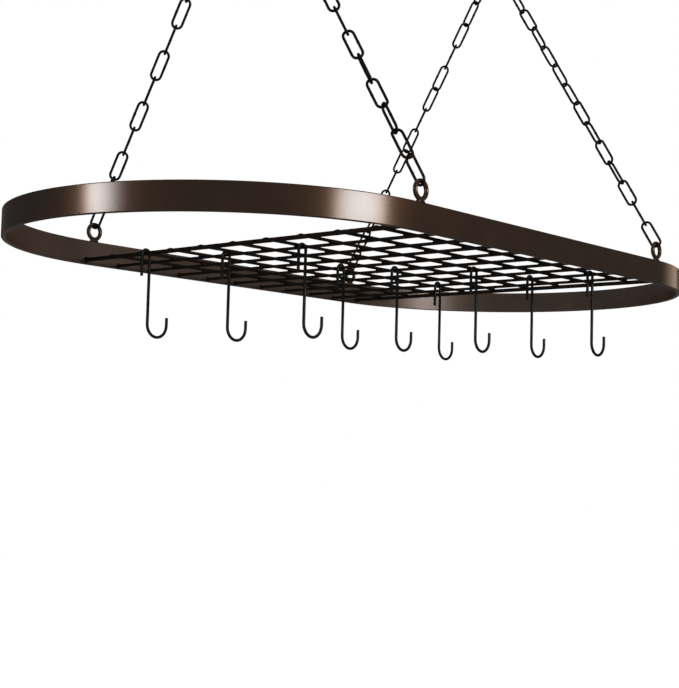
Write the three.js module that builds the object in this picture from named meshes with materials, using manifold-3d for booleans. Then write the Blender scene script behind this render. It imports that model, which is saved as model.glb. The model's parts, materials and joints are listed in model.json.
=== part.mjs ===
// A hanging pot rack: an oval steel band with a wire grid in it, hung by four chains from two
// ceiling hooks, with loose pot hooks on the grid.
// Millimetres, +Z up, +X along the rack. The origin is on the ceiling, midway between the hooks.

import * as THREE from "three";
import { mergeVertices } from "three/addons/utils/BufferGeometryUtils.js";
import Module from "manifold-3d";

const wasm = await Module();
wasm.setup();

// ---- Driving dimensions ----

// Pieces that touch on the real rack stand this far apart.
const TOUCH = 0.3;

// Corners of one piece this close together are one corner.
const SAME_CORNER = 1e-4;

// Rim band: a flat strip on edge, with straight sides and half-round ends.
const RIM_STRAIGHT = 410;
const RIM_HALF_WIDTH = 216;
const RIM_THICKNESS = 4;
const RIM_HEIGHT = 25;
const RIM_END_STEPS = 24;

// Wire grid: cross wires run the rack's width, and long wires lie on them along its length. The
// first and last cross wires are thicker, and the long wires end against them.
const CROSS_WIRES = 11;
const LONG_WIRES = 9;
const GRID_WIRE = 3.2;
const BORDER_WIRE = 4.4;
const CROSS_WIRE_TOP = 4.8; // above the rim's lower edge
const BORDER_WIRE_TOP = 6.7;
const GRID_WIRE_SIDES = 8;

// Eye rings, welded upright on the rim where its straight sides end.
const EYE_WIRE = 4.2;
const EYE_HOLE = 11.1;
const EYE_GROUND = 0.3; // the ring's lowest point, above the foot's underside
const EYE_FOOT_HEIGHT = 3;
const EYE_FOOT_LENGTH = 9;
const EYE_FOOT_TOP_LENGTH = 7;
const EYE_SIDES = 6;
const EYE_STEPS = 16;
const EYE_FOOT_SIDES = 12;

// Chains of long oval links, each turned a quarter turn from the last.
const LINK_WIRE = 2.6;
const LINK_WIDTH = 12.5; // outside
const LINK_PITCH = 27.8; // inside length
const LINK_BITE = 0.4; // how deep the links of one solid run meet
const LINK_SIDES = 6;
const LINK_STEPS = 10; // 10 puts a corner at the crown of each end
const TOP_LINK_SPACING = 3.4; // between the two top links on one ceiling hook
const TOP_LINK_PLAY = 0.6; // under each top link, where the chain turns when the rack sways
const CHAIN_RUNS = [
  ["bottom_link", 1],
  ["links_a", 3],
  ["links_b", 3],
  ["links_c", 3],
  ["links_d", 4],
  ["top_link", 1],
];

// Ceiling hooks: a wood screw, a flange against the ceiling and an open round hook.
const SCREW_LENGTH = 32;
const SCREW_POINT = 7;
const CEILING_HOOK_WIRE = 5;
const FLANGE_DIAMETER = 18;
const FLANGE_THICKNESS = 3;
const NECK_LENGTH = 4;
const NECK_BEND = 6; // centre line radius, where the neck leads into the round bend
const BEND_RADIUS = 10; // centre line
const BEND_END = 155; // degrees: where the open end stops, counted from +X
const CEILING_HOOK_SIDES = 8;
const NECK_STEPS = 3;
const BEND_STEPS = 16;
const FLANGE_SIDES = 24;

// Pot hooks: a narrow top that drops over a grid wire, a long shank and a wide cup.
const POT_HOOK_WIRE = 3;
const POT_HOOK_HEIGHT = 89;
const POT_HOOK_TOP_GAP = 6.5;
const POT_HOOK_LEG = 28; // from the crown to the end of the short leg
const POT_HOOK_CUP_GAP = 22;
const POT_HOOK_TIP = 22; // from the underside of the cup to the end of the tip
const POT_HOOK_SIDES = 6;
const POT_HOOK_TOP_STEPS = 6;
const POT_HOOK_CUP_STEPS = 8;
// Each hook's cross wire, counted from the middle one, and its place along the wire, counted in
// bays of the grid. A whole number would be on a long wire.
const POT_HOOK_PLACES = [
  [-5, 2.74],
  [-4, 1.15],
  [-4, -1.19],
  [-1, 0.31],
  [0, -0.54],
  [3, 0.42],
  [1, -2.15],
  [3, -2.43],
  [3, -4.13],
];

// ---- Sizes that follow ----

const gridPitch = (2 * RIM_HALF_WIDTH) / (LONG_WIRES + 1);
const crossWireMiddle = (CROSS_WIRES + 1) / 2;
const longWireMiddle = (LONG_WIRES + 1) / 2;
const rimInside = RIM_HALF_WIDTH - RIM_THICKNESS;
const longWireHeight = CROSS_WIRE_TOP + TOUCH + GRID_WIRE / 2;

const eyeX = RIM_STRAIGHT / 2;
const eyeY = RIM_HALF_WIDTH - RIM_THICKNESS / 2;
const eyeRadius = (EYE_HOLE + EYE_WIRE) / 2;
const eyeCentre = EYE_GROUND + EYE_WIRE / 2 + eyeRadius;
const eyeSeat = RIM_HEIGHT + TOUCH;

const linkBend = (LINK_WIDTH - LINK_WIRE) / 2;
const linkStraight = LINK_PITCH - 2 * linkBend + LINK_WIRE;

const bendDrop = Math.sqrt((BEND_RADIUS + NECK_BEND) ** 2 - NECK_BEND ** 2);
const neckEnd = -FLANGE_THICKNESS - NECK_LENGTH;
const bendCentre = neckEnd - bendDrop;

// A top link beside the middle of the bend sits a little up its side.
const seatRadius = BEND_RADIUS - (CEILING_HOOK_WIRE + LINK_WIRE) / 2 - TOUCH;
const seatRise = seatRadius - Math.sqrt(seatRadius ** 2 - (TOP_LINK_SPACING / 2) ** 2);
const saddleHeight = bendCentre - BEND_RADIUS + seatRise;

const linkCount = CHAIN_RUNS.reduce((sum, [, links]) => sum + links, 0);
const slackLength = (CHAIN_RUNS.length - 2) * TOUCH + TOP_LINK_PLAY;
const biteLength = (linkCount - CHAIN_RUNS.length) * LINK_BITE;
const chainSpan = linkCount * LINK_PITCH + biteLength - slackLength;
const eyeToSaddle = chainSpan - (EYE_WIRE + CEILING_HOOK_WIRE) / 2 - 2 * TOUCH;
const chainRise = Math.sqrt(eyeToSaddle ** 2 - eyeY ** 2 - (TOP_LINK_SPACING / 2) ** 2);
const rackHeight = saddleHeight - chainRise - eyeSeat - eyeCentre - eyeRadius;

// ---- Finishes ----

const bronze = () =>
  new THREE.MeshStandardMaterial({ color: 0x4a382e, roughness: 0.42, metalness: 0.75 });

const gridBronze = () =>
  new THREE.MeshStandardMaterial({ color: 0x2b2320, roughness: 0.5, metalness: 0.6 });

const chainBlack = () =>
  new THREE.MeshStandardMaterial({ color: 0x1f1a18, roughness: 0.45, metalness: 0.7 });

const hookBlack = () =>
  new THREE.MeshStandardMaterial({ color: 0x262826, roughness: 0.38, metalness: 0.5 });

// ---- Shaping ----

function bare(geometry) {
  geometry.deleteAttribute("normal");
  geometry.deleteAttribute("uv");
  return mergeVertices(geometry, SAME_CORNER);
}

function solidOf(geometry) {
  const shape = bare(geometry);
  return new wasm.Manifold(
    new wasm.Mesh({
      numProp: 3,
      vertProperties: Float32Array.from(shape.attributes.position.array),
      triVerts: Uint32Array.from(shape.index.array),
    }),
  );
}

function joined(geometries) {
  const mesh = geometries
    .map(solidOf)
    .reduce((sum, solid) => sum.add(solid))
    .getMesh();
  const geometry = new THREE.BufferGeometry();
  geometry.setAttribute("position", new THREE.BufferAttribute(mesh.vertProperties, 3));
  geometry.setIndex(new THREE.BufferAttribute(mesh.triVerts, 1));
  geometry.computeVertexNormals();
  return geometry;
}

function piece(name, geometry, material, x, y, z) {
  const mesh = new THREE.Mesh(geometry, material);
  mesh.name = name;
  mesh.position.set(x, y, z);
  return mesh;
}

// A path through chosen points, so that straight stretches need no points of their own.
class BentPath extends THREE.Curve {
  constructor(points) {
    super();
    this.points = points;
  }

  getPointAt(share, target = new THREE.Vector3()) {
    return target.copy(this.points[Math.round(share * (this.points.length - 1))]);
  }

  getTangentAt(share, target = new THREE.Vector3()) {
    const last = this.points.length - 1;
    const here = Math.round(share * last);
    const before = this.points[Math.max(here - 1, 0)];
    const after = this.points[Math.min(here + 1, last)];
    return target.subVectors(after, before).normalize();
  }
}

function bentWire(points, diameter, sides) {
  const section = new THREE.Shape();
  section.absarc(0, 0, diameter / 2, 0, 2 * Math.PI, false);
  const round = new THREE.Shape(section.getSpacedPoints(sides).slice(0, sides));
  return new THREE.ExtrudeGeometry(round, {
    steps: points.length - 1,
    extrudePath: new BentPath(points),
  });
}

// Points on an arc in the XZ plane, with angles in degrees from +X towards +Z.
function arc(x, z, radius, from, to, steps) {
  return Array.from({ length: steps + 1 }, (_, i) => {
    const angle = THREE.MathUtils.degToRad(from + ((to - from) * i) / steps);
    return new THREE.Vector3(x + radius * Math.cos(angle), 0, z + radius * Math.sin(angle));
  });
}

// ---- Rack ----

function ovalPath(path, halfWidth, clockwise) {
  const end = RIM_STRAIGHT / 2;
  const up = Math.PI / 2;
  if (clockwise) {
    path.absarc(end, 0, halfWidth, up, -up, true);
    path.absarc(-end, 0, halfWidth, -up, up, true);
  } else {
    path.absarc(end, 0, halfWidth, -up, up, false);
    path.absarc(-end, 0, halfWidth, up, 3 * up, false);
  }
  path.closePath();
  return path;
}

function rimBand() {
  const strip = ovalPath(new THREE.Shape(), RIM_HALF_WIDTH, false);
  strip.holes.push(ovalPath(new THREE.Path(), rimInside, true));
  const geometry = new THREE.ExtrudeGeometry(strip, {
    depth: RIM_HEIGHT,
    curveSegments: RIM_END_STEPS,
    bevelEnabled: false,
  });
  return piece("rim_band", geometry, bronze(), 0, 0, 0);
}

// Half the width inside the rim at a distance along the rack.
function insideWidth(x) {
  const past = Math.max(Math.abs(x) - RIM_STRAIGHT / 2, 0);
  return Math.sqrt(rimInside ** 2 - past ** 2);
}

function isBorder(number) {
  return number === 1 || number === CROSS_WIRES;
}

function crossWireDiameter(number) {
  return isBorder(number) ? BORDER_WIRE : GRID_WIRE;
}

function crossWireX(number) {
  return (number - crossWireMiddle) * gridPitch;
}

function crossWireHeight(number) {
  const top = isBorder(number) ? BORDER_WIRE_TOP : CROSS_WIRE_TOP;
  return top - crossWireDiameter(number) / 2;
}

function crossWire(number) {
  const radius = crossWireDiameter(number) / 2;
  const x = crossWireX(number);
  // The end face is flat and the rim is round there, so its outer edge meets the rim first.
  const half = insideWidth(Math.abs(x) + radius) - TOUCH;
  const geometry = new THREE.CylinderGeometry(radius, radius, 2 * half, GRID_WIRE_SIDES);
  return piece(`cross_wire_${number}`, geometry, gridBronze(), x, 0, crossWireHeight(number));
}

function longWire(number) {
  const radius = GRID_WIRE / 2;
  const half = crossWireX(CROSS_WIRES) - BORDER_WIRE / 2 - TOUCH;
  const geometry = new THREE.CylinderGeometry(radius, radius, 2 * half, GRID_WIRE_SIDES);
  geometry.rotateZ(Math.PI / 2);
  const y = (number - longWireMiddle) * gridPitch;
  return piece(`long_wire_${number}`, geometry, gridBronze(), 0, y, longWireHeight);
}

function eyeRing(name, x, y) {
  const ring = new THREE.TorusGeometry(eyeRadius, EYE_WIRE / 2, EYE_SIDES, EYE_STEPS);
  ring.rotateX(Math.PI / 2);
  ring.translate(0, 0, eyeCentre);
  const foot = new THREE.CylinderGeometry(
    EYE_FOOT_TOP_LENGTH / 2,
    EYE_FOOT_LENGTH / 2,
    EYE_FOOT_HEIGHT,
    EYE_FOOT_SIDES,
  );
  foot.rotateX(Math.PI / 2);
  foot.scale(1, RIM_THICKNESS / EYE_FOOT_LENGTH, 1);
  foot.translate(0, 0, EYE_FOOT_HEIGHT / 2);
  return piece(name, joined([ring, foot]), bronze(), x, y, eyeSeat);
}

// The hook turns on its grid wire's centre, which is the piece's own origin.
function potHook(number, wireNumber, bays) {
  const wire = POT_HOOK_WIRE / 2;
  const topBend = POT_HOOK_TOP_GAP / 2 + wire;
  const cupBend = POT_HOOK_CUP_GAP / 2 + wire;
  const topBendHeight = crossWireDiameter(wireNumber) / 2 + TOUCH - POT_HOOK_TOP_GAP / 2;
  const crown = topBendHeight + topBend + wire;
  const underside = crown - POT_HOOK_HEIGHT;
  const cupHeight = underside + wire + cupBend;
  const legEnd = new THREE.Vector3(-topBend, 0, crown - POT_HOOK_LEG);
  const tipEnd = new THREE.Vector3(topBend + 2 * cupBend, 0, underside + POT_HOOK_TIP);
  const points = [
    legEnd,
    ...arc(0, topBendHeight, topBend, 180, 0, POT_HOOK_TOP_STEPS),
    ...arc(topBend + cupBend, cupHeight, cupBend, 180, 360, POT_HOOK_CUP_STEPS),
    tipEnd,
  ];
  const geometry = bentWire(points, POT_HOOK_WIRE, POT_HOOK_SIDES);
  const x = crossWireX(wireNumber);
  const z = crossWireHeight(wireNumber);
  return piece(`pot_hook_${number}`, geometry, hookBlack(), x, bays * gridPitch, z);
}

function rack() {
  const group = new THREE.Group();
  group.position.z = rackHeight;
  group.add(rimBand());
  for (let number = 1; number <= CROSS_WIRES; number++) {
    group.add(crossWire(number));
  }
  for (let number = 1; number <= LONG_WIRES; number++) {
    group.add(longWire(number));
  }
  group.add(eyeRing("eye_ring_front_left", -eyeX, -eyeY));
  group.add(eyeRing("eye_ring_back_left", -eyeX, eyeY));
  group.add(eyeRing("eye_ring_front_right", eyeX, -eyeY));
  group.add(eyeRing("eye_ring_back_right", eyeX, eyeY));
  POT_HOOK_PLACES.forEach(([wire, bays], index) => {
    group.add(potHook(index + 1, crossWireMiddle + wire, bays));
  });
  return group;
}

// ---- Chains ----

// A link is a ring pulled long: its two halves move apart. It lies in the YZ plane, or with a
// quarter turn in the XZ plane, and its origin is inside its lower end.
function link(quarterTurn, height) {
  const oval = new THREE.TorusGeometry(linkBend, LINK_WIRE / 2, LINK_SIDES, LINK_STEPS);
  oval.rotateZ(Math.PI / LINK_STEPS);
  const position = oval.attributes.position;
  for (let i = 0; i < position.count; i++) {
    const y = position.getY(i);
    position.setY(i, y + (Math.sign(y) * linkStraight) / 2);
  }
  oval.rotateX(Math.PI / 2);
  oval.rotateZ(quarterTurn ? 0 : Math.PI / 2);
  oval.translate(0, 0, height + LINK_PITCH / 2);
  return oval;
}

// A chain rises from its eye ring's wire to the middle of its ceiling hook's bend.
function chain(name, eye, saddle) {
  const group = new THREE.Group();
  const along = new THREE.Vector3().subVectors(saddle, eye).normalize();
  const back = new THREE.Vector3().crossVectors(along, new THREE.Vector3(1, 0, 0)).normalize();
  const across = new THREE.Vector3().crossVectors(back, along);
  group.position.copy(eye);
  group.quaternion.setFromRotationMatrix(new THREE.Matrix4().makeBasis(across, back, along));
  let place = -EYE_WIRE / 2 - TOUCH;
  let count = 0;
  for (const [run, links] of CHAIN_RUNS) {
    if (count + links === linkCount) {
      place += TOUCH - TOP_LINK_PLAY;
    }
    const ovals = [];
    for (let i = 0; i < links; i++) {
      ovals.push(link(count % 2 === 1, i * (LINK_PITCH + LINK_BITE)));
      count += 1;
    }
    group.add(piece(`${name}_${run}`, joined(ovals), chainBlack(), 0, 0, place));
    place += links * (LINK_PITCH + LINK_BITE) - LINK_BITE - TOUCH;
  }
  return group;
}

function chains() {
  const group = new THREE.Group();
  const eyeHeight = rackHeight + eyeSeat + eyeCentre + eyeRadius;
  const aside = TOP_LINK_SPACING / 2;
  for (const [side, x] of [["left", -eyeX], ["right", eyeX]]) {
    for (const [row, y, shift] of [["front", -eyeY, -aside], ["back", eyeY, aside]]) {
      const eye = new THREE.Vector3(x, y, eyeHeight);
      const saddle = new THREE.Vector3(x + shift, 0, saddleHeight);
      group.add(chain(`chain_${row}_${side}`, eye, saddle));
    }
  }
  return group;
}

// ---- Ceiling hooks ----

function ceilingHook(name, x) {
  const tangent = THREE.MathUtils.radToDeg(Math.atan2(bendDrop, NECK_BEND));
  const points = [
    new THREE.Vector3(0, 0, -FLANGE_THICKNESS / 2),
    ...arc(NECK_BEND, neckEnd, NECK_BEND, 180, 180 + tangent, NECK_STEPS),
    ...arc(0, bendCentre, BEND_RADIUS, tangent, BEND_END - 360, BEND_STEPS).slice(1),
  ];
  const bend = bentWire(points, CEILING_HOOK_WIRE, CEILING_HOOK_SIDES);
  const flangeRadius = FLANGE_DIAMETER / 2;
  const flange = new THREE.CylinderGeometry(
    flangeRadius,
    flangeRadius,
    FLANGE_THICKNESS,
    FLANGE_SIDES,
  );
  flange.rotateX(Math.PI / 2);
  flange.translate(0, 0, -FLANGE_THICKNESS / 2);
  const screwRadius = CEILING_HOOK_WIRE / 2;
  const shoulder = SCREW_LENGTH - SCREW_POINT;
  const screw = new THREE.LatheGeometry(
    [
      new THREE.Vector2(0, -FLANGE_THICKNESS / 2),
      new THREE.Vector2(screwRadius, -FLANGE_THICKNESS / 2),
      new THREE.Vector2(screwRadius, shoulder),
      new THREE.Vector2(0, SCREW_LENGTH),
    ],
    CEILING_HOOK_SIDES,
  );
  screw.rotateX(Math.PI / 2);
  return piece(name, joined([flange, screw, bend]), chainBlack(), x, 0, 0);
}

// ---- Assembly ----

const potRack = new THREE.Group();
potRack.add(ceilingHook("ceiling_hook_left", -eyeX));
potRack.add(ceilingHook("ceiling_hook_right", eyeX));
potRack.add(chains());
potRack.add(rack());

export default potRack;
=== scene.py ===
"""A hanging pot rack in a plain studio: an oval bronze band with a wire grid, hung by four chains.

Lengths are in metres, with X along the rack, Y across it and Z up. The ceiling is at Z = 0.
"""

import json
import math

import bmesh
import bpy
from mathutils import Matrix, Quaternion, Vector


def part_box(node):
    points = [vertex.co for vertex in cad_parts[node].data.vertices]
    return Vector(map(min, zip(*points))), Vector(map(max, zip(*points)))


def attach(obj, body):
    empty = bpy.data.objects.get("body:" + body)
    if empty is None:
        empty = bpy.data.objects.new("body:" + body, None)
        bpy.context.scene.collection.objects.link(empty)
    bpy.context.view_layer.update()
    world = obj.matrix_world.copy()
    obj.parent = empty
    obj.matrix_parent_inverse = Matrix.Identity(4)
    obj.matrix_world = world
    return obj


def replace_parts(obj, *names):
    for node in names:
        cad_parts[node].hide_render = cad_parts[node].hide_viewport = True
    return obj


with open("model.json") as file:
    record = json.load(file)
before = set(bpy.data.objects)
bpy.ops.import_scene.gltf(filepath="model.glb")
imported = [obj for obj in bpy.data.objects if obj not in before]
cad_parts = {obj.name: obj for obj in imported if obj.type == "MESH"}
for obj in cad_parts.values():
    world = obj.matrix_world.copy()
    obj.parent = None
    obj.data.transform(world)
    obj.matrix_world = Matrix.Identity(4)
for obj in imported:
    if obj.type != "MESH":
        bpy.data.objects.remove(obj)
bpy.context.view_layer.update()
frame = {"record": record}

# ---- Sizes that the frame's boxes don't give ----

MM = 0.001
SAME_POINT = 2e-6  # two corners this near are one, which closes a ring's seam
ROUNDING_ROOM = 2e-6  # keeps the band's rounded-off figures inside the CAD's box

BAND_THICKNESS = 4 * MM
BAND_EDGE_ROUND = 0.9 * MM
BAND_EDGE_STEPS = 4
BAND_END_STEPS = 72
FACES_INWARD = -0.5  # how far a face's normal leans against outward, on the band's inside

WIRE_SIDES = 16
END_ROUND_STEPS = 3
END_FLAT = 0.6  # of a step, left flat in the middle of a rounded end
WELD_FLARE = 1.3 * MM  # how far a cross wire's weld spreads where it meets the band
WELD_FLARE_STEPS = ((0.5 * MM, 0.72), (0.6 * MM, 0.38), (0.8 * MM, 0.12), (0.9 * MM, 0.0))
LONG_WIRE_END_ROUND = 0.45 * MM
CROSSING_WELD = (2.0 * MM, 1.9 * MM, 0.95 * MM)
BORDER_WELD_INSET = 0.36  # times the outer cross wire's width, from its middle

EYE_WIRE = 4.2 * MM
EYE_STEPS = 40
EYE_FOOT_LENGTH = 12 * MM
EYE_FOOT_DEPTH = 0.42  # times its length, across the band
EYE_FOOT_SIDES = 24
EYE_FOOT_HEIGHT = 3.6 * MM
EYE_FOOT_STEPS = ((0.15, 0.93), (0.35, 0.87), (0.3, 0.95), (0.2, 0.86))

LINK_WIRE = 2.6 * MM
LINK_WIDTH = 12.5 * MM
LINK_BEND_STEPS = 10
LINK_SIDES = 12
LINK_WELD_SWELL = 1.16
LINK_WELD_STEP = 0.78 * MM  # two of these to each side of the weld's middle
TOP_LINK_ASIDE = 1.7 * MM
TOP_LINK_PLAY = 0.6 * MM  # under each top link, where the chain turns when the rack sways

HOOK_WIRE = 5 * MM
SCREW_LENGTH = 32 * MM
SCREW_POINT = 7 * MM
SCREW_CORE = 1.75 * MM
SCREW_TIP = 0.08  # times the core's radius, where the point ends
THREAD_DEPTH = 0.7 * MM
THREAD_PITCH = 2.1 * MM
THREAD_SMOOTH_SHANK = 5 * MM
THREAD_END_GAP = 1.5 * MM  # from the thread's end to the screw's tip
THREAD_ROOT = 0.8  # times the core's radius, so that the thread starts inside the core
THREAD_FOOT = 0.32  # times the pitch, on each side of the crest
THREAD_LEAST = 0.1  # times its full distance from the axis, at the tip
THREAD_STEPS = 18  # to a turn
FLANGE_RADIUS = 9 * MM
FLANGE_THICKNESS = 3 * MM
FLANGE_EDGE = 0.45  # of its thickness, the rest is rounded
FLANGE_SIDES = 48
FLANGE_ROUND_STEPS = 5
NECK_LENGTH = 4 * MM
NECK_TOP = 1.5  # times the hook's wire, where the neck leaves the flange
NECK_TAPER = ((0.35, 1.2), (0.3, 1.0), (0.35, 1.0))  # shares of its length, and how thick
NECK_BEND = 6 * MM
NECK_BEND_STEPS = 8
ROUND_BEND = 10 * MM
ROUND_BEND_END = 155  # degrees, where the open end stops, counted from +X
ROUND_BEND_STEPS = 40
HOOK_END_ROUND = 0.6  # times the wire's radius

POT_HOOK_WIRE = 3 * MM
POT_HOOK_TOP_GAP = 6.5 * MM
POT_HOOK_LEG = 28 * MM
POT_HOOK_CUP_GAP = 22 * MM
POT_HOOK_TIP = 22 * MM
POT_HOOK_TOP_STEPS = 14
POT_HOOK_CUP_STEPS = 24
POT_HOOK_END_ROUND = 0.45  # times the wire's radius

# The runs that the frame's nodes hold a chain's links in, from the eye ring up.
CHAIN_RUNS = (
    ("bottom_link", 1),
    ("links_a", 3),
    ("links_b", 3),
    ("links_c", 3),
    ("links_d", 4),
    ("top_link", 1),
)
LINKS_IN_CHAIN = sum(links for _, links in CHAIN_RUNS)

# How far each link is turned about its chain, from the eye ring up, in degrees. Neighbours in a
# straight chain are a quarter turn apart, and this is added for the twist that each chain has.
LINK_TWISTS = {
    "front_left": (15, 34, 37, 52, 53, 55, 62, 60, 56, 48, 40, 30, 18, 6, 0),
    "back_left": (-25, -40, -50, -51, -51, -51, -51, -51, -50, -44, -36, -27, -16, -6, 0),
    "front_right": (-20, -20, -8, 2, 3, 9, 12, 21, 26, 27, 35, 46, 34, 12, 0),
    "back_right": (0, 10, 22, 36, 50, 30, -14, -40, -72, -104, -130, -153, -178, -180, -180),
}

# ---- What the frame says ----

BODY_OF = {
    node: body
    for body, nodes in frame["record"]["behaviour"]["bodies"].items()
    for node in nodes
}
band_low, band_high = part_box("rim_band")
BAND_HALF_WIDTH = band_high.y
BAND_STRAIGHT_HALF = band_high.x - band_high.y
BAND_INSIDE = BAND_HALF_WIDTH - BAND_THICKNESS
CROSS_WIRES = sorted(
    (node for node in BODY_OF if node.startswith("cross_wire_")), key=lambda n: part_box(n)[0].x
)
LONG_WIRES = sorted(
    (node for node in BODY_OF if node.startswith("long_wire_")), key=lambda n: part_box(n)[0].y
)
POT_HOOKS = sorted(node for node in BODY_OF if node.startswith("pot_hook_"))
CORNERS = ("front_left", "back_left", "front_right", "back_right")


def middle(node):
    low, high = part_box(node)
    return (low + high) / 2


# ---- Node groups that several finishes share ----

PEEL_DETAIL = 1.5
PATCH_RANGE = (0.3, 0.7)  # of the noise, which a patch's edge runs over
DUST_SPECKLE = 180.0  # the noise's scale
DUST_RANGE = (0.35, 0.75)
DUST_FACING = (0.35, 1.0)  # how far up a face looks, from where dust starts to where it lies full
RUB_RANGE = (0.62, 0.78)


class Nodes:
    """Adds nodes to a tree and joins them up."""

    def __init__(self, tree):
        self.tree = tree

    def add(self, kind, values=(), **settings):
        node = self.tree.nodes.new(kind)
        for name, value in settings.items():
            setattr(node, name, value)
        for socket, value in dict(values).items():
            if isinstance(value, bpy.types.NodeSocket):
                self.tree.links.new(value, node.inputs[socket])
            else:
                node.inputs[socket].default_value = value
        return node

    def math(self, operation, first, second=0.0):
        node = self.add("ShaderNodeMath", {0: first, 1: second}, operation=operation)
        return node.outputs[0]

    def blend(self, share, first, second):
        node = self.add(
            "ShaderNodeMix",
            {"Factor": share, "A": first, "B": second},
            data_type="RGBA",
        )
        return node.outputs["Result"]

    def noise(self, place, scale, detail=2.0, roughness=0.5):
        values = {"Vector": place, "Scale": scale, "Detail": detail, "Roughness": roughness}
        return self.add("ShaderNodeTexNoise", values).outputs["Fac"]

    def spread(self, value, low, high, to_low=0.0, to_high=1.0):
        values = {
            "Value": value,
            "From Min": low,
            "From Max": high,
            "To Min": to_low,
            "To Max": to_high,
        }
        return self.add("ShaderNodeMapRange", values).outputs["Result"]


def new_group(name, inputs, outputs):
    """A shader node group, with its inputs as (name, default) and its outputs as names."""
    tree = bpy.data.node_groups.new(name, "ShaderNodeTree")
    for label, default in inputs:
        socket = tree.interface.new_socket(label, in_out="INPUT", socket_type="NodeSocketFloat")
        socket.default_value = default
    for label in outputs:
        tree.interface.new_socket(label, in_out="OUTPUT", socket_type="NodeSocketFloat")
    nodes = Nodes(tree)
    return tree, nodes, nodes.add("NodeGroupInput"), nodes.add("NodeGroupOutput")


def coat_group():
    """The skin of a sprayed and baked coat: a fine peel, and soft patches of tone."""
    tree, nodes, given, result = new_group(
        "sprayed_coat", [("Peel Size", 0.9 * MM), ("Patch Size", 30 * MM)], ["Peel", "Patches"]
    )
    place = nodes.add("ShaderNodeTexCoord").outputs["Object"]
    peel_scale = nodes.math("DIVIDE", 1.0, given.outputs["Peel Size"])
    peel = nodes.noise(place, peel_scale, detail=PEEL_DETAIL)
    patch_scale = nodes.math("DIVIDE", 1.0, given.outputs["Patch Size"])
    patches = nodes.noise(place, patch_scale, detail=4.0, roughness=0.6)
    tree.links.new(peel, result.inputs["Peel"])
    tree.links.new(nodes.spread(patches, *PATCH_RANGE), result.inputs["Patches"])
    return tree


def dust_group():
    """A thin film of dust on what faces up."""
    tree, nodes, given, result = new_group("dust", [("Amount", 0.5)], ["Dust"])
    place = nodes.add("ShaderNodeTexCoord").outputs["Object"]
    normal = nodes.add("ShaderNodeNewGeometry").outputs["Normal"]
    height = nodes.add("ShaderNodeSeparateXYZ", {0: normal}).outputs["Z"]
    facing = nodes.spread(height, *DUST_FACING)
    speckle = nodes.noise(place, DUST_SPECKLE, detail=5.0, roughness=0.65)
    film = nodes.math("MULTIPLY", facing, nodes.spread(speckle, *DUST_RANGE))
    film = nodes.math("MULTIPLY", film, given.outputs["Amount"])
    tree.links.new(film, result.inputs["Dust"])
    return tree


def rub_group():
    """Where hands and hooks have rubbed the coat thin: small bright scuffs."""
    tree, nodes, given, result = new_group(
        "rubbed_spots", [("Spot Size", 6 * MM), ("Amount", 0.5)], ["Rub"]
    )
    place = nodes.add("ShaderNodeTexCoord").outputs["Object"]
    scale = nodes.math("DIVIDE", 1.0, given.outputs["Spot Size"])
    spots = nodes.spread(nodes.noise(place, scale, detail=6.0, roughness=0.7), *RUB_RANGE)
    tree.links.new(nodes.math("MULTIPLY", spots, given.outputs["Amount"]), result.inputs["Rub"])
    return tree


COAT = coat_group()
DUST = dust_group()
RUB = rub_group()

# ---- Finishes ----

DUST_TONE = (0.16, 0.145, 0.13, 1.0)
EDGE_TINT = (0.1, 0.08, 0.06, 1.0)  # keeps a dark coat dark where it is seen almost edge on
COAT_IOR = 2.6
METAL_SHARE = 0.5
SATIN_PLAY = 0.02  # how much rougher or smoother the patches are
DUST_ROUGHNESS = 0.3  # added where the dust lies full
PEEL_DEPTH = 0.002 * MM


def finish(name, dark, warm, bare, roughness, coat, coat_roughness, dust, rub, edge=EDGE_TINT):
    """A dark sprayed metal finish: two tones in soft patches, scuffs, dust and a fine peel."""
    material = bpy.data.materials.new(name)
    material.use_nodes = True
    nodes = Nodes(material.node_tree)
    shader = material.node_tree.nodes["Principled BSDF"]
    coat_skin = nodes.add("ShaderNodeGroup", node_tree=COAT)
    film = nodes.add("ShaderNodeGroup", {"Amount": dust}, node_tree=DUST)
    rubbed = nodes.add("ShaderNodeGroup", {"Amount": rub}, node_tree=RUB)
    patches = coat_skin.outputs["Patches"]
    tone = nodes.blend(patches, dark, warm)
    tone = nodes.blend(rubbed.outputs["Rub"], tone, bare)
    tone = nodes.blend(film.outputs["Dust"], tone, DUST_TONE)
    satin = nodes.spread(patches, 0.0, 1.0, roughness - SATIN_PLAY, roughness + SATIN_PLAY)
    dulled = nodes.math("MULTIPLY", film.outputs["Dust"], DUST_ROUGHNESS)
    satin = nodes.math("ADD", satin, dulled)
    metal = nodes.spread(film.outputs["Dust"], 0.0, 1.0, METAL_SHARE, 0.0)
    bump = nodes.add(
        "ShaderNodeBump",
        {"Strength": 1.0, "Distance": PEEL_DEPTH, "Height": coat_skin.outputs["Peel"]},
    )
    links = material.node_tree.links
    links.new(tone, shader.inputs["Base Color"])
    links.new(satin, shader.inputs["Roughness"])
    links.new(metal, shader.inputs["Metallic"])
    links.new(bump.outputs["Normal"], shader.inputs["Normal"])
    shader.inputs["Specular IOR Level"].default_value = 0.0
    shader.inputs["Specular Tint"].default_value = edge
    shader.inputs["Coat Weight"].default_value = coat
    shader.inputs["Coat Roughness"].default_value = coat_roughness
    shader.inputs["Coat IOR"].default_value = COAT_IOR
    return material


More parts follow.
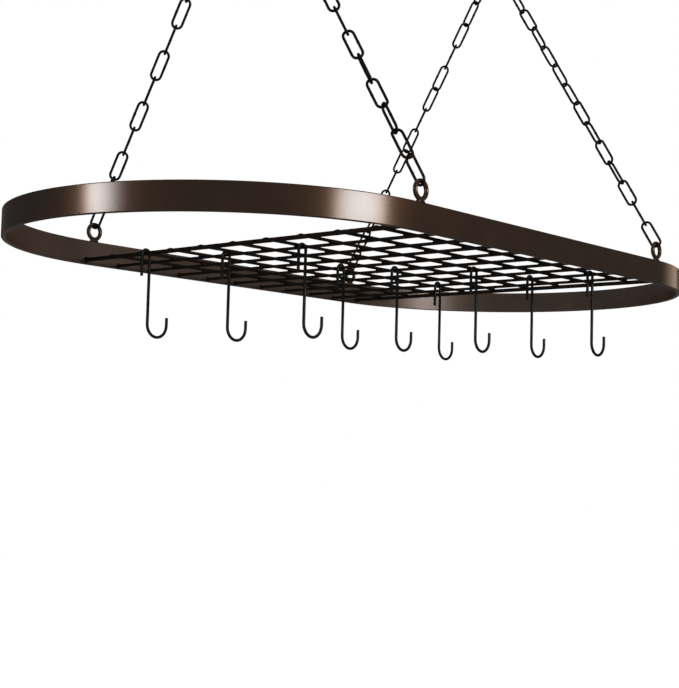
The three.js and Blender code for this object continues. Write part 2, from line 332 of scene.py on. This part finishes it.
band_bronze = finish(
    "band_bronze",
    dark=(0.0112, 0.0048, 0.0013, 1.0),
    warm=(0.0144, 0.0062, 0.0019, 1.0),
    bare=(0.080, 0.050, 0.032, 1.0),
    roughness=0.36,
    coat=0.052,
    coat_roughness=0.20,
    dust=0.06,
    rub=0.12,
)
# The inside face's copy of the band's finish: rougher, with a lighter colour and a brighter edge-on
# reflection that are painted light.
band_inside_lit = finish(
    "band_inside_lit",
    dark=(0.0175, 0.0091, 0.0048, 1.0),
    warm=(0.0250, 0.0130, 0.0068, 1.0),
    bare=(0.080, 0.050, 0.032, 1.0),
    roughness=0.40,
    coat=0.085,
    coat_roughness=0.34,
    dust=0.1,
    rub=0.2,
    edge=(0.50, 0.38, 0.30, 1.0),
)
grid_bronze = finish(
    "grid_bronze",
    dark=(0.0034, 0.0018, 0.0010, 1.0),
    warm=(0.0060, 0.0031, 0.0018, 1.0),
    bare=(0.050, 0.032, 0.022, 1.0),
    roughness=0.40,
    coat=0.015,
    coat_roughness=0.24,
    dust=0.1,
    rub=0.2,
)
chain_black = finish(
    "chain_black",
    dark=(0.0032, 0.0020, 0.0015, 1.0),
    warm=(0.0058, 0.0034, 0.0023, 1.0),
    bare=(0.050, 0.034, 0.024, 1.0),
    roughness=0.38,
    coat=0.015,
    coat_roughness=0.34,
    dust=0.06,
    rub=0.1,
)
hook_black = finish(
    "hook_black",
    dark=(0.0032, 0.0038, 0.0036, 1.0),
    warm=(0.0060, 0.0070, 0.0066, 1.0),
    bare=(0.050, 0.054, 0.052, 1.0),
    roughness=0.38,
    coat=0.020,
    coat_roughness=0.34,
    dust=0.05,
    rub=0.08,
)

# ---- Shaping ----


def add_piece(shape, name, material, node):
    """Turns a bmesh into a piece that moves with the body of a CAD node."""
    bmesh.ops.remove_doubles(shape, verts=shape.verts[:], dist=SAME_POINT)
    bmesh.ops.recalc_face_normals(shape, faces=shape.faces[:])
    for face in shape.faces:
        face.smooth = True
    mesh = bpy.data.meshes.new(name)
    shape.to_mesh(mesh)
    shape.free()
    mesh.materials.append(material)
    piece = bpy.data.objects.new(name, mesh)
    bpy.context.scene.collection.objects.link(piece)
    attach(piece, BODY_OF[node])
    return piece


def only(kind, things):
    return [thing for thing in things if isinstance(thing, kind)]


class Wire:
    """A wire that is made as on a bending jig: straight stretches and round bends, end to end."""

    def __init__(self, start, along, radius, sides, shape=None):
        self.shape = shape or bmesh.new()
        self.along = Vector(along).normalized()
        self.centre = Vector(start)
        turn = self.along.to_track_quat("Z", "Y").to_matrix().to_4x4()
        made = bmesh.ops.create_circle(
            self.shape, segments=sides, radius=radius, matrix=Matrix.Translation(start) @ turn
        )
        self.ring = made["verts"]
        self.edges = list({edge for vert in self.ring for edge in vert.link_edges})
        self.radius = radius

    def straight(self, length):
        made = bmesh.ops.extrude_edge_only(self.shape, edges=self.edges)["geom"]
        self.ring = only(bmesh.types.BMVert, made)
        self.edges = only(bmesh.types.BMEdge, made)
        step = self.along * length
        bmesh.ops.translate(self.shape, verts=self.ring, vec=step)
        self.centre = self.centre + step
        return self

    def to_radius(self, radius):
        return self.swell(radius / self.radius)

    def swell(self, times):
        space = Matrix.Translation(-self.centre)
        bmesh.ops.scale(self.shape, verts=self.ring, vec=(times,) * 3, space=space)
        self.radius *= times
        return self

    def bend(self, centre, axis, degrees, steps):
        angle = math.radians(degrees)
        made = bmesh.ops.spin(
            self.shape,
            geom=self.ring + self.edges,
            cent=centre,
            axis=axis,
            angle=angle,
            steps=steps,
            use_merge=degrees == 360,
            use_duplicate=False,
        )["geom_last"]
        self.ring = only(bmesh.types.BMVert, made)
        self.edges = only(bmesh.types.BMEdge, made)
        turn = Quaternion(Vector(axis), angle)
        self.centre = Vector(centre) + turn @ (self.centre - Vector(centre))
        self.along = turn @ self.along
        return self

    def flat_end(self):
        bmesh.ops.contextual_create(self.shape, geom=self.edges)
        return self

    def round_end(self, depth, steps=END_ROUND_STEPS):
        """Closes the wire with an end that is rounded over the given depth."""
        radius = self.radius
        for step in range(1, steps + 1):
            angle = math.pi / 2 * step / (steps + END_FLAT)
            last = math.pi / 2 * (step - 1) / (steps + END_FLAT)
            self.straight(depth * (math.sin(angle) - math.sin(last)))
            inset = radius - depth * (1 - math.cos(angle))
            self.swell(inset / self.radius)
        return self.flat_end()


def round_both_ends(start, end, radius, depth):
    """A straight wire with both ends rounded, made as two halves from its middle."""
    start = Vector(start)
    end = Vector(end)
    centre = (start + end) / 2
    half = (end - start).length / 2 - depth
    wire = Wire(centre, end - start, radius, WIRE_SIDES)
    wire.straight(half).round_end(depth)
    other = Wire(centre, start - end, radius, WIRE_SIDES, wire.shape)
    other.straight(half).round_end(depth)
    return wire.shape


# ---- Rack ----


def inside_width(x):
    """Half the width inside the band, at a distance along the rack."""
    past = max(abs(x) - BAND_STRAIGHT_HALF, 0)
    return math.sqrt(BAND_INSIDE**2 - past**2)


def band_section():
    """The strip's section with rounded corners, upright where the near straight ends at +X."""
    shape = bmesh.new()
    centre_line = BAND_HALF_WIDTH - BAND_THICKNESS / 2 - ROUNDING_ROOM
    height = band_high.z - band_low.z
    place = Vector((BAND_STRAIGHT_HALF, -centre_line, (band_low.z + band_high.z) / 2))
    bmesh.ops.create_grid(shape, x_segments=1, y_segments=1, size=0.5)
    bmesh.ops.scale(shape, verts=shape.verts[:], vec=(BAND_THICKNESS, height, 1))
    bmesh.ops.bevel(
        shape,
        geom=shape.verts[:],
        offset=BAND_EDGE_ROUND,
        offset_type="OFFSET",
        segments=BAND_EDGE_STEPS,
        profile=0.5,
        affect="VERTICES",
        material=-1,
    )
    upright = Matrix.Rotation(math.pi / 2, 4, "Y") @ Matrix.Rotation(math.pi / 2, 4, "Z")
    bmesh.ops.transform(shape, matrix=Matrix.Translation(place) @ upright, verts=shape.verts[:])
    return shape


def run_band_round(shape):
    """Runs the section round each end and along each side, back to where it started."""
    edges = shape.edges[:]
    verts = shape.verts[:]
    bmesh.ops.delete(shape, geom=shape.faces[:], context="FACES_ONLY")
    for end, run in ((BAND_STRAIGHT_HALF, -1), (-BAND_STRAIGHT_HALF, 1)):
        made = bmesh.ops.spin(
            shape,
            geom=verts + edges,
            cent=(end, 0, 0),
            axis=(0, 0, 1),
            angle=math.pi,
            steps=BAND_END_STEPS,
            use_duplicate=False,
        )["geom_last"]
        made = bmesh.ops.extrude_edge_only(shape, edges=only(bmesh.types.BMEdge, made))["geom"]
        verts = only(bmesh.types.BMVert, made)
        edges = only(bmesh.types.BMEdge, made)
        bmesh.ops.translate(shape, verts=verts, vec=(run * 2 * BAND_STRAIGHT_HALF, 0, 0))


def paint_inside_lit(band):
    """Gives the band's inside face a rougher copy of the band's finish, whose lighter colour and
    brighter edge-on reflection are painted light.
    """
    band.data.materials.append(band_inside_lit)
    for face in band.data.polygons:
        axis_x = max(-BAND_STRAIGHT_HALF, min(face.center.x, BAND_STRAIGHT_HALF))
        outward = (face.center - Vector((axis_x, 0, face.center.z))).normalized()
        if face.normal.dot(outward) < FACES_INWARD:
            face.material_index = 1


def make_band():
    """A flat strip on edge with rounded corners, bent round two ends and joined to a ring."""
    shape = band_section()
    run_band_round(shape)
    band = add_piece(shape, "band", band_bronze, "rim_band")
    paint_inside_lit(band)
    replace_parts(band, "rim_band")
    even = band.modifiers.new("even_flats", "WEIGHTED_NORMAL")
    even.keep_sharp = True


def make_cross_wire(number, node):
    """A wire across the rack, welded to the band at both ends."""
    low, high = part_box(node)
    centre = (low + high) / 2
    radius = (high.x - low.x) / 2
    half = inside_width(centre.x)
    steps = WELD_FLARE_STEPS
    wire = Wire((centre.x, -half, centre.z), (0, 1, 0), radius + WELD_FLARE, WIRE_SIDES)
    wire.flat_end()
    for length, flare in steps:
        wire.straight(length).to_radius(radius + WELD_FLARE * flare)
    wire.straight(2 * (half - sum(length for length, _ in steps)))
    flares = [flare for _, flare in reversed(steps)][1:] + [1.0]
    for (length, _), flare in zip(reversed(steps), flares):
        wire.straight(length).to_radius(radius + WELD_FLARE * flare)
    wire.flat_end()
    name = f"grid_across_{number:02d}"
    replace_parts(add_piece(wire.shape, name, grid_bronze, node), node)


def make_long_wire(number, node):
    low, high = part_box(node)
    centre = (low + high) / 2
    radius = (high.z - low.z) / 2
    shape = round_both_ends(
        (low.x, centre.y, centre.z), (high.x, centre.y, centre.z), radius, LONG_WIRE_END_ROUND
    )
    name = f"grid_along_{number:02d}"
    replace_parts(add_piece(shape, name, grid_bronze, node), node)


def make_grid_welds():
    """The spot welds where a long wire lies on a cross wire or ends against the outer ones."""
    shape = bmesh.new()
    borders = (CROSS_WIRES[0], CROSS_WIRES[-1])
    for cross in CROSS_WIRES:
        low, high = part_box(cross)
        for along in LONG_WIRES:
            place = Vector((middle(cross).x, middle(along).y, high.z))
            if cross in borders:
                place.x -= math.copysign((high.x - low.x) * BORDER_WELD_INSET, place.x)
            bead = Matrix.Translation(place) @ Matrix.Diagonal((*CROSSING_WELD, 1))
            bmesh.ops.create_icosphere(shape, subdivisions=2, radius=1, matrix=bead)
    add_piece(shape, "grid_welds", grid_bronze, CROSS_WIRES[0])


def make_eye(corner):
    """A ring of round wire that stands on the band's top edge, in a flat foot of weld."""
    node = f"eye_ring_{corner}"
    low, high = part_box(node)
    centre = (low + high) / 2
    foot_place = (centre.x, centre.y, band_high.z)
    foot = Wire(foot_place, (0, 0, 1), EYE_FOOT_LENGTH / 2, EYE_FOOT_SIDES)
    foot.flat_end()
    for rise, narrow in EYE_FOOT_STEPS:
        foot.straight(EYE_FOOT_HEIGHT * rise).swell(narrow)
    foot.flat_end()
    shape = foot.shape
    space = Matrix.Translation(-centre)
    bmesh.ops.scale(shape, verts=shape.verts[:], vec=(1, EYE_FOOT_DEPTH, 1), space=space)
    ring_radius = (high.x - low.x - EYE_WIRE) / 2
    ring_centre = Vector((centre.x, centre.y, high.z - EYE_WIRE / 2 - ring_radius))
    top = ring_centre + Vector((0, 0, ring_radius))
    ring = Wire(top, (1, 0, 0), EYE_WIRE / 2, WIRE_SIDES, shape)
    ring.bend(ring_centre, (0, 1, 0), 360, EYE_STEPS)
    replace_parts(add_piece(shape, f"eye_{corner}", band_bronze, node), node)


def make_pot_hook(number, node):
    """A wire hook: a narrow top over the grid's wire, a long shank and a wide round cup."""
    low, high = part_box(node)
    radius = POT_HOOK_WIRE / 2
    top_bend = POT_HOOK_TOP_GAP / 2 + radius
    cup_bend = POT_HOOK_CUP_GAP / 2 + radius
    x = low.x + radius + top_bend
    y = middle(node).y
    top_centre = Vector((x, y, high.z - radius - top_bend))
    cup_centre = Vector((x + top_bend + cup_bend, y, low.z + radius + cup_bend))
    leg_length = POT_HOOK_LEG - radius - top_bend
    end_round = radius * POT_HOOK_END_ROUND
    leg = Wire((x - top_bend, y, top_centre.z), (0, 0, -1), radius, WIRE_SIDES)
    leg.straight(leg_length - end_round).round_end(end_round)
    wire = Wire((x - top_bend, y, top_centre.z), (0, 0, 1), radius, WIRE_SIDES, leg.shape)
    wire.bend(top_centre, (0, 1, 0), 180, POT_HOOK_TOP_STEPS)
    wire.straight(top_centre.z - cup_centre.z)
    wire.bend(cup_centre, (0, -1, 0), 180, POT_HOOK_CUP_STEPS)
    tip_rise = POT_HOOK_TIP - radius - cup_bend
    wire.straight(tip_rise - end_round).round_end(end_round)
    name = f"hanging_hook_{number}"
    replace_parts(add_piece(wire.shape, name, hook_black, node), node)


# ---- Chains ----


def link_shape(inside_length):
    """One oval link, standing in the XZ plane round the origin, with its weld on one side."""
    radius = LINK_WIRE / 2
    bend = LINK_WIDTH / 2 - radius
    half = inside_length / 2 + radius - bend
    ease = math.sqrt(LINK_WELD_SWELL)
    wire = Wire((bend, 0, 0), (0, 0, 1), radius * LINK_WELD_SWELL, LINK_SIDES)
    for _ in range(2):
        wire.straight(LINK_WELD_STEP).swell(1 / ease)
    wire.straight(half - 2 * LINK_WELD_STEP)
    wire.bend((0, 0, half), (0, -1, 0), 180, LINK_BEND_STEPS)
    wire.straight(2 * half)
    wire.bend((0, 0, -half), (0, -1, 0), 180, LINK_BEND_STEPS)
    wire.straight(half - 2 * LINK_WELD_STEP)
    for _ in range(2):
        wire.straight(LINK_WELD_STEP).swell(ease)
    return wire.shape


def hook_bend_centre():
    """The height of the centre of a ceiling hook's round bend."""
    across = ROUND_BEND + NECK_BEND
    drop = math.sqrt(across**2 - NECK_BEND**2)
    return -FLANGE_THICKNESS - NECK_LENGTH - drop


def link_nodes(corner):
    """The CAD node of each link in a chain, from the eye ring up."""
    for run, links in CHAIN_RUNS:
        for _ in range(links):
            yield f"chain_{corner}_{run}"


def make_chain(corner):
    """The links of one chain, which hang from a ceiling hook's bend and hold an eye ring."""
    low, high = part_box(f"eye_ring_{corner}")
    centre = (low + high) / 2
    eye = Vector((centre.x, centre.y, high.z - EYE_WIRE / 2))
    aside = math.copysign(TOP_LINK_ASIDE, centre.y)
    inner = ROUND_BEND - (HOOK_WIRE + LINK_WIRE) / 2
    seat_rise = inner - math.sqrt(inner**2 - TOP_LINK_ASIDE**2)
    saddle_height = hook_bend_centre() - ROUND_BEND + seat_rise
    saddle = Vector((centre.x + aside, 0, saddle_height))
    along = (saddle - eye).normalized()
    back = along.cross(Vector((1, 0, 0))).normalized()
    across = back.cross(along)
    span = (saddle - eye).length + (EYE_WIRE + HOOK_WIRE) / 2
    pitch = (span + TOP_LINK_PLAY) / LINKS_IN_CHAIN
    basis = Matrix((back, across, along)).transposed().to_4x4()
    for count, node in enumerate(link_nodes(corner)):
        rise = -EYE_WIRE / 2 + (count + 0.5) * pitch
        if count == LINKS_IN_CHAIN - 1:
            rise -= TOP_LINK_PLAY
        turn = math.radians(90 * count + LINK_TWISTS[corner][count])
        place = Matrix.Translation(eye + along * rise) @ basis @ Matrix.Rotation(turn, 4, "Z")
        shape = link_shape(pitch)
        bmesh.ops.transform(shape, matrix=place, verts=shape.verts[:])
        name = f"link_{corner}_{count + 1:02d}"
        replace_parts(add_piece(shape, name, chain_black, node), node)


# ---- Ceiling hooks ----


def thread_shape(x):
    """A wood screw's ridge: a small wedge, spun up the core and drawn in along its point."""
    shape = bmesh.new()
    low = THREAD_SMOOTH_SHANK
    high = SCREW_LENGTH - THREAD_END_GAP
    turns = (high - low) / THREAD_PITCH
    steps = int(turns * THREAD_STEPS)
    root = x + SCREW_CORE * THREAD_ROOT
    foot = THREAD_PITCH * THREAD_FOOT
    wedge = [
        shape.verts.new((root, 0, low - foot)),
        shape.verts.new((x + SCREW_CORE + THREAD_DEPTH, 0, low)),
        shape.verts.new((root, 0, low + foot)),
    ]
    edges = [shape.edges.new((wedge[i], wedge[(i + 1) % 3])) for i in range(3)]
    bmesh.ops.contextual_create(shape, geom=edges)
    made = bmesh.ops.spin(
        shape,
        geom=wedge + edges,
        cent=(x, 0, 0),
        axis=(0, 0, 1),
        dvec=(0, 0, (high - low) / steps),
        angle=2 * math.pi * turns,
        steps=steps,
        use_duplicate=False,
    )["geom_last"]
    bmesh.ops.contextual_create(shape, geom=only(bmesh.types.BMEdge, made))
    point_start = SCREW_LENGTH - SCREW_POINT
    for vert in shape.verts:
        if vert.co.z > point_start:
            share = max(THREAD_LEAST, (SCREW_LENGTH - vert.co.z) / SCREW_POINT)
            vert.co.x = x + (vert.co.x - x) * share
            vert.co.y = vert.co.y * share
    return shape


def make_ceiling_hook(side):
    """A wood screw, a flange against the ceiling and an open round hook, forged in one."""
    node = f"ceiling_hook_{side}"
    x = middle(f"eye_ring_front_{side}").x
    radius = HOOK_WIRE / 2
    centre_z = hook_bend_centre()
    neck_end = -FLANGE_THICKNESS - NECK_LENGTH
    lead = math.degrees(math.atan2(neck_end - centre_z, NECK_BEND))
    shape = thread_shape(x)
    in_flange = (x, 0, -FLANGE_THICKNESS / 2)
    core = Wire(in_flange, (0, 0, 1), SCREW_CORE, WIRE_SIDES, shape)
    core.flat_end()
    core.straight(FLANGE_THICKNESS / 2 + SCREW_LENGTH - SCREW_POINT)
    core.straight(SCREW_POINT).swell(SCREW_TIP).flat_end()
    flange = Wire((x, 0, 0), (0, 0, -1), FLANGE_RADIUS, FLANGE_SIDES, shape)
    flange.flat_end()
    flange.straight(FLANGE_THICKNESS * FLANGE_EDGE)
    flange.round_end(FLANGE_THICKNESS * (1 - FLANGE_EDGE), FLANGE_ROUND_STEPS)
    neck = Wire(in_flange, (0, 0, -1), radius * NECK_TOP, WIRE_SIDES, shape)
    neck.flat_end()
    neck.straight(FLANGE_THICKNESS / 2)
    for share, thick in NECK_TAPER:
        neck.straight(NECK_LENGTH * share).to_radius(radius * thick)
    neck.bend((x + NECK_BEND, 0, neck_end), (0, -1, 0), lead, NECK_BEND_STEPS)
    round_turn = lead + 360 - ROUND_BEND_END
    neck.bend((x, 0, centre_z), (0, 1, 0), round_turn, ROUND_BEND_STEPS)
    neck.round_end(radius * HOOK_END_ROUND)
    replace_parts(add_piece(shape, f"screw_hook_{side}", chain_black, node), node)


# ---- Assembly ----

make_band()
for number, node in enumerate(CROSS_WIRES, 1):
    make_cross_wire(number, node)
for number, node in enumerate(LONG_WIRES, 1):
    make_long_wire(number, node)
make_grid_welds()
for corner in CORNERS:
    make_eye(corner)
    make_chain(corner)
for side in ("left", "right"):
    make_ceiling_hook(side)
for number, node in enumerate(POT_HOOKS, 1):
    make_pot_hook(number, node)

# ---- Studio ----

FLOOR_HEIGHT = -1.6
FLOOR_SIZE = 16.0
FLOOR_FADE_START = 2.0
FLOOR_FADE_END = 5.0
NEAR_FLOOR_GLOW = 0.45
FLOOR_TONE = (0.88, 0.88, 0.88, 1.0)
FLOOR_ROUGHNESS = 0.9
WHITE = (1.0, 1.0, 1.0, 1.0)
AMBIENT = 0.45

# Two compact lamps make the two upright streaks on the band's round left end, a third one lights
# its right end, and a wide one above gives the even light. Azimuths are counted from +Y towards
# +X, as seen from the place on the band that a lamp is meant for. A lamp is aimed past that place
# where it would otherwise make a second streak inside the band. The light of the two streaks
# turns brown towards its rim, which gives each streak its brown edges.
TOP_LAMP_SIZE = 2.2
TOP_LAMP_HEIGHT = 1.6
TOP_LAMP_POWER = 22.0
LAMP_MIDDLE_TINT = (0.94, 1.0, 1.03, 1.0)
LAMP_RIM_TINT = (1.0, 0.58, 0.36, 1.0)
RIGHT_LAMP_TINT = (1.0, 0.70, 0.50)
LAMP_MIDDLE = (0.5, 0.5, 0.0)
LAMP_RIM_START = 0.36  # of the lamp's width, from its middle
LAMP_RIM_END = 0.5


def direction(azimuth, elevation):
    azimuth = math.radians(azimuth)
    elevation = math.radians(elevation)
    level = math.cos(elevation)
    return Vector((math.sin(azimuth) * level, math.cos(azimuth) * level, math.sin(elevation)))


def add_lamp(name, place, towards, size, power, beam=180, tint=(1.0, 1.0, 1.0)):
    lamp = bpy.data.lights.new(name, "AREA")
    lamp.shape = "ELLIPSE"
    lamp.size, lamp.size_y = size
    lamp.energy = power
    lamp.color = tint
    lamp.spread = math.radians(beam)
    holder = bpy.data.objects.new(name, lamp)
    holder.location = place
    holder.rotation_euler = (-towards).to_track_quat("Z", "Y").to_euler()
    holder.visible_camera = False
    bpy.context.scene.collection.objects.link(holder)
    return lamp


def warm_rim(lamp):
    """Turns a lamp's light warmer towards its rim, as a silk in front of a lamp does."""
    lamp.use_nodes = True
    nodes = Nodes(lamp.node_tree)
    place = nodes.add("ShaderNodeNewGeometry").outputs["Parametric"]
    away = nodes.add(
        "ShaderNodeVectorMath", {0: place, 1: LAMP_MIDDLE}, operation="DISTANCE"
    ).outputs["Value"]
    rim = nodes.spread(away, LAMP_RIM_START, LAMP_RIM_END)
    tone = nodes.blend(rim, LAMP_MIDDLE_TINT, LAMP_RIM_TINT)
    lamp.node_tree.links.new(tone, lamp.node_tree.nodes["Emission"].inputs["Color"])


def off_band(x, y, azimuth, elevation, away):
    """A place that is so far away, and in that direction, from a point at the band's mid height."""
    return Vector((x, y, middle("rim_band").z)) + direction(azimuth, elevation) * away


def add_left_lamp():
    place = off_band(-0.414, -0.054, azimuth=-71.2, elevation=10, away=1.0)
    aim = direction(azimuth=117, elevation=-9)
    warm_rim(add_lamp("left_lamp", place, aim, size=(0.44, 0.13), power=0.525, beam=32))


def add_front_lamp():
    place = off_band(-0.272, -0.205, azimuth=166, elevation=10, away=1.1)
    aim = direction(azimuth=-14, elevation=-8)
    warm_rim(add_lamp("front_lamp", place, aim, size=(0.60, 0.13), power=20.4))


def add_right_lamp():
    place = off_band(0.244, -0.212, azimuth=99, elevation=8, away=0.8)
    aim = direction(azimuth=-92, elevation=-8)
    size = (0.38, 0.35)
    add_lamp("right_lamp", place, aim, size, power=0.34, beam=44, tint=RIGHT_LAMP_TINT)


def add_top_lamp():
    place = Vector((0, 0, TOP_LAMP_HEIGHT))
    add_lamp("top_lamp", place, -place, (TOP_LAMP_SIZE, TOP_LAMP_SIZE), TOP_LAMP_POWER)


def background_share(nodes):
    """1 where the eye, a reflection or a view through glass sees the background, else 0."""
    path = nodes.add("ShaderNodeLightPath")
    seen = nodes.math("MAXIMUM", path.outputs["Is Camera Ray"], path.outputs["Is Glossy Ray"])
    return nodes.math("MAXIMUM", seen, path.outputs["Is Transmission Ray"])


def make_world():
    world = bpy.data.worlds.new("studio")
    world.use_nodes = True
    nodes = Nodes(world.node_tree)
    background = world.node_tree.nodes["Background"]
    strength = nodes.spread(background_share(nodes), 0.0, 1.0, AMBIENT, 1.0)
    background.inputs["Color"].default_value = WHITE
    world.node_tree.links.new(strength, background.inputs["Strength"])
    bpy.context.scene.world = world


def make_pale_floor_finish():
    """White to the eye far off, and darker near the rack, where its shadow falls."""
    material = bpy.data.materials.new("pale_floor")
    material.use_nodes = True
    nodes = Nodes(material.node_tree)
    shader = material.node_tree.nodes["Principled BSDF"]
    shader.inputs["Base Color"].default_value = FLOOR_TONE
    shader.inputs["Roughness"].default_value = FLOOR_ROUGHNESS
    shader.inputs["Specular IOR Level"].default_value = 0.0
    shader.inputs["Emission Color"].default_value = WHITE
    place = nodes.add("ShaderNodeTexCoord").outputs["Object"]
    away = nodes.add("ShaderNodeVectorMath", {0: place}, operation="LENGTH").outputs["Value"]
    level = nodes.spread(away, FLOOR_FADE_START, FLOOR_FADE_END, NEAR_FLOOR_GLOW, 1.0)
    glow = nodes.math("MULTIPLY", background_share(nodes), level)
    material.node_tree.links.new(glow, shader.inputs["Emission Strength"])
    return material


def make_floor():
    shape = bmesh.new()
    bmesh.ops.create_grid(shape, x_segments=1, y_segments=1, size=FLOOR_SIZE / 2)
    bmesh.ops.translate(shape, verts=shape.verts[:], vec=(0, 0, FLOOR_HEIGHT))
    mesh = bpy.data.meshes.new("floor")
    shape.to_mesh(mesh)
    shape.free()
    mesh.materials.append(make_pale_floor_finish())
    floor = bpy.data.objects.new("floor", mesh)
    bpy.context.scene.collection.objects.link(floor)


add_left_lamp()
add_front_lamp()
add_right_lamp()
add_top_lamp()
make_world()
make_floor()

# ---- Camera ----

IMAGE_HEIGHT = 688
SENSOR_HEIGHT = 36.0  # millimetres, as a camera's lens and sensor are given
FOCAL_PIXELS = 1350.0
CAMERA_FROM_BAND = Vector((-1.0868, -0.8969, -0.1756))  # from the middle of its lower edge
CAMERA_AZIMUTH = 48.933
CAMERA_PITCH = 4.128
CAMERA_ROLL = 1.491
CAMERA_CLIP_START = 0.05


def make_camera():
    camera = bpy.data.cameras.new("camera")
    camera.sensor_fit = "VERTICAL"
    camera.sensor_height = SENSOR_HEIGHT
    camera.lens = FOCAL_PIXELS * SENSOR_HEIGHT / IMAGE_HEIGHT
    camera.clip_start = CAMERA_CLIP_START
    holder = bpy.data.objects.new("camera", camera)
    ahead = direction(CAMERA_AZIMUTH, CAMERA_PITCH)
    level = ahead.cross(Vector((0, 0, 1))).normalized()
    over = level.cross(ahead)
    roll = math.radians(CAMERA_ROLL)
    right = math.cos(roll) * level + math.sin(roll) * over
    up = math.cos(roll) * over - math.sin(roll) * level
    turn = Matrix((right, up, -ahead)).transposed().to_4x4()
    place = Vector((0, 0, band_low.z)) + CAMERA_FROM_BAND
    holder.matrix_world = Matrix.Translation(place) @ turn
    bpy.context.scene.collection.objects.link(holder)
    bpy.context.scene.camera = holder


make_camera()
bpy.context.scene.view_settings.view_transform = "Standard"
